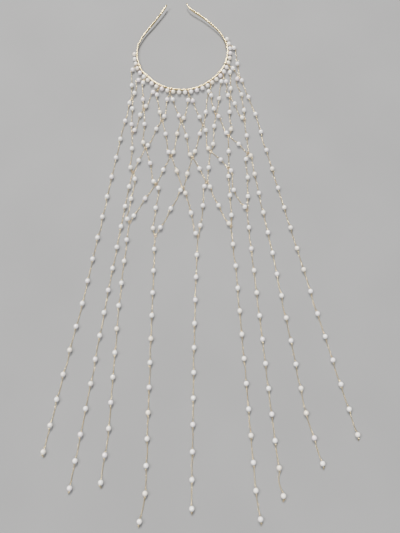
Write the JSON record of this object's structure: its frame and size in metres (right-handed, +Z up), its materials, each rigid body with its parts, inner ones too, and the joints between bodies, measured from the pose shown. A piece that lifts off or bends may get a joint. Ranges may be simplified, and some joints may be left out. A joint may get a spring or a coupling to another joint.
{
  "type": "head chain",
  "caption": "Open hair band edged with pearls, from which a net of pearl-set chains hangs down over the hair and ends in loose strands.",
  "frame": {"origin": "middle of the bounding box, at its bottom, on the surface that the piece lies on", "axes": "+Y from the loose strands' ends towards the band and its open back, +Z up off the surface, +X to the right"},
  "size_m": [0.3226, 0.6398, 0.0071],
  "materials": {
    "gold": "polished pale gold plate",
    "pearl": "imitation pearl with a soft lustre"
  },
  "bodies": {
    "root": {"band": "gold", "band_pearl_01": "pearl", "band_pearl_02": "pearl", "band_pearl_03": "pearl", "band_pearl_04": "pearl", "band_pearl_05": "pearl", "band_pearl_06": "pearl", "band_pearl_07": "pearl", "band_pearl_08": "pearl", "band_pearl_09": "pearl", "band_pearl_10": "pearl", "band_pearl_11": "pearl", "band_pearl_12": "pearl", "band_pearl_13": "pearl", "band_pearl_14": "pearl", "band_pearl_15": "pearl", "band_pearl_16": "pearl", "band_pearl_17": "pearl", "band_pearl_18": "pearl", "band_pearl_19": "pearl", "band_pearl_20": "pearl", "band_pearl_21": "pearl", "band_pearl_22": "pearl", "band_pearl_23": "pearl", "band_pearl_24": "pearl", "band_pearl_25": "pearl", "band_pearl_26": "pearl", "band_pearl_27": "pearl", "band_pearl_28": "pearl", "band_pearl_29": "pearl", "hanger_ring_1": "gold", "hanger_ring_2": "gold", "hanger_ring_3": "gold", "hanger_ring_4": "gold", "hanger_ring_5": "gold", "hanger_ring_6": "gold", "hanger_ring_7": "gold", "hanger_ring_8": "gold", "hanger_ring_9": "gold", "pearl_chain_01": "pearl", "pearl_chain_02": "pearl", "pearl_chain_03": "pearl", "pearl_chain_04": "pearl", "pearl_chain_05": "pearl", "pearl_chain_06": "pearl", "pearl_chain_07": "pearl", "pearl_chain_08": "pearl", "pearl_chain_09": "pearl", "pearl_chain_10": "pearl", "pearl_chain_11": "pearl", "pearl_chain_12": "pearl", "pearl_chain_13": "pearl", "pearl_chain_14": "pearl", "pearl_chain_15": "pearl", "pearl_chain_16": "pearl", "pearl_chain_17": "pearl", "pearl_chain_18": "pearl"}
  },
  "joints": []
}
